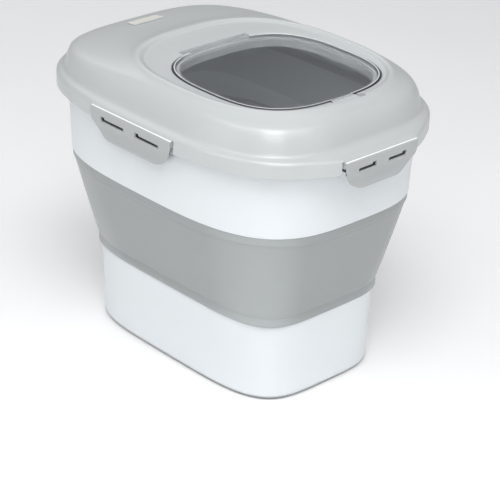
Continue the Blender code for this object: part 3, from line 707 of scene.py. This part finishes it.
def latch_mesh(name, half, edge=0.7, steps=4):
    drop, rad = LATCH_DROP, LATCH_CORNER_R
    root = math.sqrt(LATCH_R**2 - (LATCH_R - LATCH_T) ** 2)
    cv, cl = drop - rad, half - rad
    top = np.linspace(0.0, cv, 5)
    phis = np.radians(np.linspace(0.0, 90.0, 29))[1:]
    v_out = list(top) + [cv + (rad - edge) * math.sin(p) for p in phis]
    v_in = list(root + (cv - root) * top / cv) + [cv + (rad - edge) * math.sin(p) for p in phis]
    lens = [half - edge] * len(top) + [cl + (rad - edge) * math.cos(p) for p in phis]
    nrm = [(1.0, 0.0)] * len(top) + [(math.cos(p), math.sin(p)) for p in phis]
    rows = len(v_out)
    cols = 2 * int(half / 3.0)
    ts = np.linspace(-1.0, 1.0, cols + 1)
    verts, faces = [], []

    def add(p):
        verts.append((p[0] * MM, p[1] * MM, p[2] * MM))
        return len(verts) - 1

    for vs, depth in ((v_out, 0.0), (v_in, LATCH_T)):
        g = [[add(on_plate(lens[i] * t, vs[i], depth)) for t in ts] for i in range(rows)]
        for i in range(rows - 1):
            for j in range(cols):
                faces.append((g[i][j], g[i][j + 1], g[i + 1][j + 1], g[i + 1][j]))
    # edge strip round the sides and the bottom
    path = [(-lens[i], i, -nrm[i][0], nrm[i][1]) for i in range(rows)]
    path += [(lens[-1] * t, rows - 1, 0.0, 1.0) for t in ts[1:-1]]
    path += [(lens[i], i, nrm[i][0], nrm[i][1]) for i in range(rows - 1, -1, -1)]
    levels = []
    for k in range(steps + 1):
        th = 0.5 * math.pi * k / steps
        levels.append((edge * math.sin(th), edge * (1 - math.cos(th))))
    for k in range(steps, -1, -1):
        th = 0.5 * math.pi * k / steps
        levels.append((edge * math.sin(th), LATCH_T - edge * (1 - math.cos(th))))
    strip = []
    for o, depth in levels:
        row = []
        for l, i, nl, nv in path:
            v = v_out[i] + (v_in[i] - v_out[i]) * depth / LATCH_T
            row.append(add(on_plate(l + o * nl, v + o * nv, depth)))
        strip.append(row)
    for a, b in zip(strip, strip[1:]):
        for i in range(len(path) - 1):
            faces.append((a[i], a[i + 1], b[i + 1], b[i]))
    # bead along the top
    a0, a1 = 180.0, math.degrees(math.atan2(-root, -(LATCH_R - LATCH_T)))
    angs = [math.radians(a0 + (a1 - a0) * i / 30) for i in range(31)]

    def bead_point(a, r):
        k = (math.degrees(a)) % 360.0
        if 90.0 <= k <= 180.0:                       # fuller towards the top outer corner
            c, t = abs(math.cos(a)) ** (2.0 / 2.8), abs(math.sin(a)) ** (2.0 / 2.8)
            return -r * c, (r + 0.22) * t
        grow = 0.22 * min(1.0, max(0.0, ((k if k < 180.0 else k - 360.0) + 128.0) / 60.0))
        return (r + grow) * math.cos(a), (r + grow) * math.sin(a)

    def bead_ring(l, r):
        return [add((*bead_point(a, r), l)) for a in angs]

    body = [bead_ring((half - edge) * t, LATCH_R) for t in ts]
    for a, b in zip(body, body[1:]):
        for i in range(30):
            faces.append((a[i], a[i + 1], b[i + 1], b[i]))
    for sign in (-1, 1):
        rings = [bead_ring(sign * (half - edge + levels[k][0]), LATCH_R - levels[k][1])
                 for k in range(steps + 1)]
        for a, b in zip(rings, rings[1:]):
            for i in range(30):
                faces.append((a[i], a[i + 1], b[i + 1], b[i]))
        col = 0 if sign < 0 else len(path) - 1
        inner = [strip[2 * steps + 1 - k][col] for k in range(steps + 1)]
        for k in range(steps):
            faces.append((inner[k], inner[k + 1], rings[k + 1][-1], rings[k][-1]))
        faces.append(tuple(rings[-1]) + (inner[-1],))
    ob = make(name, verts, faces, None)
    bm = bmesh.new()
    bm.from_mesh(ob.data)
    bmesh.ops.remove_doubles(bm, verts=bm.verts, dist=0.000004)
    bmesh.ops.dissolve_degenerate(bm, edges=bm.edges, dist=0.000002)
    bmesh.ops.recalc_face_normals(bm, faces=bm.faces)
    bad = [e for e in bm.edges if not e.is_manifold]
    if bad:
        print("latch open edges", name, len(bad))
    bm.to_mesh(ob.data)
    bm.free()
    return ob


slot_turn = Matrix.Rotation(math.pi / 2, 4, "Y")
for name, body, nx, ny, dist, half, slot, flip in SIDES:
    f = side_frame(nx, ny, dist)
    la = latch_mesh(name.replace("latch", "lock") + "_handle", half)
    la.matrix_world = f
    z0 = SLOT_Z
    for l0, l1 in (slot, (-slot[1], -slot[0])):
        # local Z of the cutter runs through the plate, local -X along the hinge
        if flip > 0:
            pts = [(l0, z0 - 1.9), (l1 + 0.2, z0 - 1.9), (l1 + 0.2, z0 + 3.7), (l1 - 5.2, z0 + 3.7),
                   (l1 - 6.4, z0 + 1.7), (l0, z0 + 1.7)]
        else:
            pts = [(l1, z0 - 1.9), (l0 - 0.2, z0 - 1.9), (l0 - 0.2, z0 + 3.7), (l0 + 5.2, z0 + 3.7),
                   (l0 + 6.4, z0 + 1.7), (l1, z0 + 1.7)]
        pts = rounded(pts, [0.9, 0.6, 0.6, 0.6, 0.4, 0.9], 4)
        c = prism("slot", [(-x, y) for x, y in pts], -8.0, 8.0, matrix=f @ slot_turn)
        cut(la, c)
    bake(la)
    tidy(la, 32.0, 0.000004)
    la.data.materials.clear()
    la.data.materials.append(MAT_LATCH)
    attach(la, body)
    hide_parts(name)


# ================================================================ clear flip window
def flap_ring(inset, z, r):
    return (WIN_B - inset, WIN_A - inset, WIN_N, z, WY, r)


flap = loft("flip_window", refine([
    flap_ring(60.0, 341.2, 0.5), flap_ring(4.0, 341.2, 0.8), flap_ring(2.8, 342.3, 0.6),
    flap_ring(1.1, 342.3, 0.5), flap_ring(0.4, 341.6, 0.5), flap_ring(0.4, 338.1, 0.4),
    flap_ring(2.2, 338.1, 0.4), flap_ring(2.5, 339.5, 0.3), flap_ring(60.0, 339.5, 0.5)], False,
    longest=60.0), MAT_CLEAR, closed=False)
cut(flap, box("flap_trim", (-NOTCH_L + 0.2, 37.9, 330.0), (NOTCH_L - 0.2, 60.0, 350.0)))
hinge_profile = arc(2.0, -90.0, 90.0, 16) + [(-1.6, 1.2), (-5.6, 1.15), (-5.6, -0.45),
                                             (-1.94, -0.45), (-1.4, -1.4)]
cut(flap, prism("flap_bead", hinge_profile, -48.2, 48.2, matrix=along_x), op="UNION")
cut(flap, prism("flap_pin", arc(1.1, 0, 345, 23), -50.8, 50.8, matrix=along_x), op="UNION")
tab = rounded([(-15.2, -153.0), (-15.2, -169.6), (15.2, -169.6), (15.2, -153.0)],
              [0.0, 5.0, 5.0, 0.0], 10)
cut(flap, prism("flap_tab", tab, 339.6, 341.5), op="UNION")
tidy(flap, 30.0)
flap.data.materials.clear()
flap.data.materials.append(MAT_CLEAR)
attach(flap, "flap")
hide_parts("flap_window")

# painted shade: a near-black sheet laid round the window gap, where there is only shadow
MAT_GAP_SHADE = plastic("window_gap_shade_paint", (0.045, 0.048, 0.055), 0.5, grain=0.02, edge=0.1, wave=0.02,
                   mottle=0.02)
strip = loft("window_gap_shade_sheet", refine([
    flap_ring(-0.68, 341.1, 0.1), flap_ring(-0.1, 341.45, 0.2), flap_ring(0.3, 341.72, 0.2),
    flap_ring(0.85, 342.28, 0.1), flap_ring(1.15, 342.42, 0.05), flap_ring(1.2, 341.4, 0.1),
    flap_ring(0.3, 340.9, 0.1), flap_ring(-0.68, 340.6, 0.1)], True), MAT_GAP_SHADE, closed=True)
cut(strip, box("strip_trim", (-NOTCH_L - 0.5, 36.5, 330.0), (NOTCH_L + 0.5, 60.0, 350.0)))
cut(strip, box("strip_tab", (-15.6, -170.0, 330.0), (15.6, -150.0, 350.0)))
tidy(strip, 30.0)
strip.data.materials.clear()
strip.data.materials.append(MAT_GAP_SHADE)
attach(strip, "flap")
tab_in = rounded([(-14.3, -152.0), (-14.3, -168.7), (14.3, -168.7), (14.3, -152.0)],
                 [0.0, 4.3, 4.3, 0.0], 10)
border = prism("tab_border", tab, 341.2, 342.0, MAT_EDGE, col=bpy.context.scene.collection)
cut(border, prism("tab_hole", tab_in, 330.0, 350.0))
cut(border, box("tab_cut", (-20.0, -156.9, 330.0), (20.0, -140.0, 350.0)))
tidy(border, 30.0)
border.data.materials.clear()
border.data.materials.append(MAT_EDGE)
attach(border, "flap")
# painted highlight: a pale opaque ring on the clear window's rim stands for its bright highlight lines
edge = loft("window_rim_highlight_line", refine([
    flap_ring(2.3, 342.0, 0.2), flap_ring(2.1, 342.5, 0.2), flap_ring(1.3, 342.5, 0.2),
    flap_ring(1.1, 342.0, 0.2)], True), MAT_EDGE, closed=True)
cut(edge, box("edge_trim", (-NOTCH_L - 0.5, 36.5, 330.0), (NOTCH_L + 0.5, 60.0, 350.0)))
cut(edge, box("edge_tab", (-14.4, -170.0, 330.0), (14.4, -150.0, 350.0)))
tidy(edge, 30.0)
edge.data.materials.clear()
edge.data.materials.append(MAT_EDGE)
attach(edge, "flap")
for k in range(7):
    gx = -11.4 + 3.8 * k
    rib = prism("tab_grip_%d" % k, rounded([(gx - 0.7, -167.6), (gx + 0.7, -167.6), (gx + 0.7, -158.0),
                                          (gx - 0.7, -158.0)], 0.6, 4), 341.3, 342.0, MAT_EDGE,
                col=bpy.context.scene.collection)
    tidy(rib, 30.0)
    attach(rib, "flap")

wseal = loft("window_seal", refine([
    (96.5, 95.6, WIN_N, 338.0, WY, 0.3), (96.5, 95.6, WIN_N, 339.2, WY, 0.5),
    (93.5, 92.9, WIN_N, 339.2, WY, 0.5), (93.5, 92.9, WIN_N, 338.0, WY, 0.3)], True),
    MAT_SEAL, closed=True)
tidy(wseal)
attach(wseal, "lid")
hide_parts("flap_seal")

# ================================================================ blank badge
slope = math.atan2(337.0 - 334.2, 167.0 - 143.5)
surface_z = 337.0 - (160.0 - 143.5) * math.tan(slope)
badge_frame = Matrix.Translation((0.0, 160.0 * MM, (surface_z + 0.85) * MM)) \
    @ Matrix.Rotation(-slope, 4, "X")
plate = rounded([(-22, -7.5), (22, -7.5), (22, 7.5), (-22, 7.5)], 3.4, 8)
badge = prism("badge_plate", plate, -0.4, 0.25, MAT_BADGE, badge_frame,
              col=bpy.context.scene.collection)
inner = rounded([(-20.9, -6.4), (20.9, -6.4), (20.9, 6.4), (-20.9, 6.4)], 2.6, 8)
rim = prism("badge_border", plate, -0.4, 0.4, MAT_BADGE_RIM, badge_frame,
            col=bpy.context.scene.collection)
hole = prism("badge_hole", inner, -2, 2, matrix=badge_frame)
cut(rim, hole)
hole = prism("badge_fit", rounded([(-20.8, -6.3), (20.8, -6.3), (20.8, 6.3), (-20.8, 6.3)], 2.55, 8),
             -2, 2, matrix=badge_frame)
cut(badge, hole, op="INTERSECT")
for ob in (badge, rim):
    bake(ob)
    tidy(ob, 30.0)
    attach(ob, "lid")
badge.data.materials.clear(); badge.data.materials.append(MAT_BADGE)
rim.data.materials.clear(); rim.data.materials.append(MAT_BADGE_RIM)
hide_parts("label_badge")

# ================================================================ floor, light, camera
mat, nt, bsdf = tree("studio_floor")
fc = ramp(nt, noise(nt, coords(nt), 3.0, 2.0, 0.5), [(0.3, (0.93, 0.935, 0.94)), (0.7, (0.95, 0.955, 0.96))])
nt.links.new(fc, bsdf.inputs["Base Color"])
bsdf.inputs["Roughness"].default_value = 0.6
bsdf.inputs["Emission Color"].default_value = (1.0, 1.0, 1.0, 1.0)
bsdf.inputs["Emission Strength"].default_value = 0.10
floor = make("floor", [(-6, -6, -0.0004), (6, -6, -0.0004), (6, 6, -0.0004), (-6, 6, -0.0004)],
             [(0, 1, 2, 3)], mat)
floor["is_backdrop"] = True

world = bpy.data.worlds.new("studio")
bpy.context.scene.world = world
world.use_nodes = True
world.node_tree.nodes["Background"].inputs["Color"].default_value = (0.97, 0.985, 1.0, 1.0)
world.node_tree.nodes["Background"].inputs["Strength"].default_value = 0.22


def area(name, az, el, dist, size, power, target=(0, 0, 0.2), colour=(1, 1, 1)):
    a, e = math.radians(az), math.radians(el)
    back = Vector((math.sin(a) * math.cos(e), -math.cos(a) * math.cos(e), math.sin(e)))
    data = bpy.data.lights.new(name, "AREA")
    data.shape = "RECTANGLE"
    data.size, data.size_y = size
    data.energy = power
    data.color = colour
    ob = bpy.data.objects.new(name, data)
    bpy.context.scene.collection.objects.link(ob)
    ob.location = Vector(target) + back * dist
    ob.rotation_mode = "QUATERNION"
    ob.rotation_quaternion = (-back).to_track_quat("-Z", "Y")
    return ob


area("key_high", -43.0, 60.0, 2.6, (1.2, 1.2), 33.0)
area("key_front", -43.0, 31.0, 2.6, (1.2, 1.2), 13.5)
area("left_low", -105.0, 12.0, 2.6, (1.2, 1.2), 4.0)
area("left_high", -105.0, 48.0, 2.6, (1.0, 1.0), 8.0)
area("right_low", 15.0, 14.0, 2.6, (1.2, 1.2), 3.5)
area("right_high", 10.0, 50.0, 2.6, (1.2, 1.2), 8.0)
area("top", 0.0, 88.0, 2.6, (1.8, 1.8), 4.0)
area("far_wash", 150.0, 62.0, 3.4, (2.6, 2.6), 21.0, target=(0.6, 1.2, 0.0))

az, el, roll = math.radians(-42.847), math.radians(26.625), math.radians(1.605)
dist, focal, px, py, tz = 2202.4, 1936.7, 234.746, 248.372, 107.02
back = Vector((math.sin(az) * math.cos(el), -math.cos(az) * math.cos(el), math.sin(el)))
right = (-back).cross(Vector((0, 0, 1))).normalized()
up = right.cross(-back)
r2 = right * math.cos(roll) + up * math.sin(roll)
u2 = -right * math.sin(roll) + up * math.cos(roll)
cam_data = bpy.data.cameras.new("camera")
cam_data.sensor_width = 36.0
cam_data.lens = focal * 36.0 / 500.0
cam_data.shift_x = -(px - 250.0) / 500.0
cam_data.shift_y = (py - 250.0) / 500.0
cam_data.clip_start, cam_data.clip_end = 0.05, 50.0
cam = bpy.data.objects.new("camera", cam_data)
bpy.context.scene.collection.objects.link(cam)
m = Matrix((r2, u2, back)).transposed().to_4x4()
m.translation = (back * dist + Vector((0, 0, tz))) * MM
cam.matrix_world = m
bpy.context.scene.camera = cam
bpy.context.scene.view_settings.view_transform = "Standard"

bpy.context.view_layer.update()
lo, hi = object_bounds()
